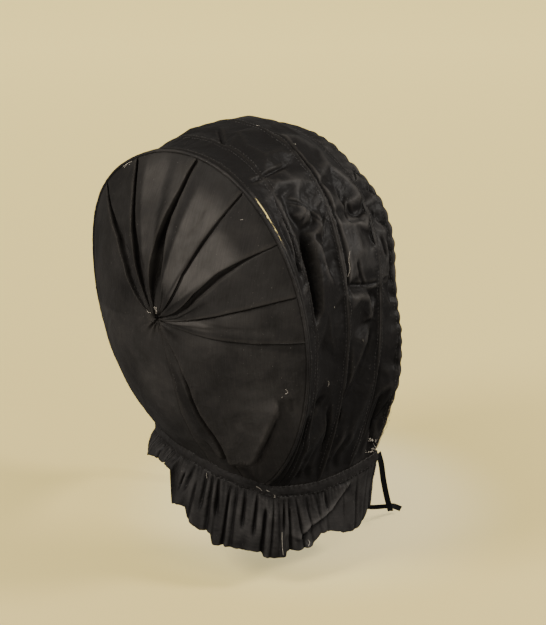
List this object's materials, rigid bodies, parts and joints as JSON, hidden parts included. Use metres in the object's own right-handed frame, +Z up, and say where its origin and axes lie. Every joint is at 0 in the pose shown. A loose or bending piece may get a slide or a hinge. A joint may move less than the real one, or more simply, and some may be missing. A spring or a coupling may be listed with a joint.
{
  "type": "calash bonnet",
  "caption": "Folding hooped hood of dark silk on bent canes, with a pleated round back, a neck band, a gathered ruffle and ribbon ties.",
  "frame": {"origin": "head seat: where the top of the head or hair meets the inside of the crown, on the wearer's middle plane", "axes": "+Z up, -Y the way the wearer faces, +X the wearer's left"},
  "size_m": [0.2818, 0.2876, 0.4496],
  "materials": {
    "silk": "soft sheen",
    "ribbon": "soft sheen",
    "cane": "dry, split cane"
  },
  "bodies": {
    "root": {"back_panel": "silk", "back_piping": "silk", "hood": "silk", "hoop_1": "cane", "hoop_2": "cane", "hoop_3": "cane", "hoop_4": "cane", "hoop_5": "cane", "neck_band": "silk", "ruffle": "silk", "tie_right": "ribbon", "tie_left": "ribbon"}
  },
  "joints": []
}
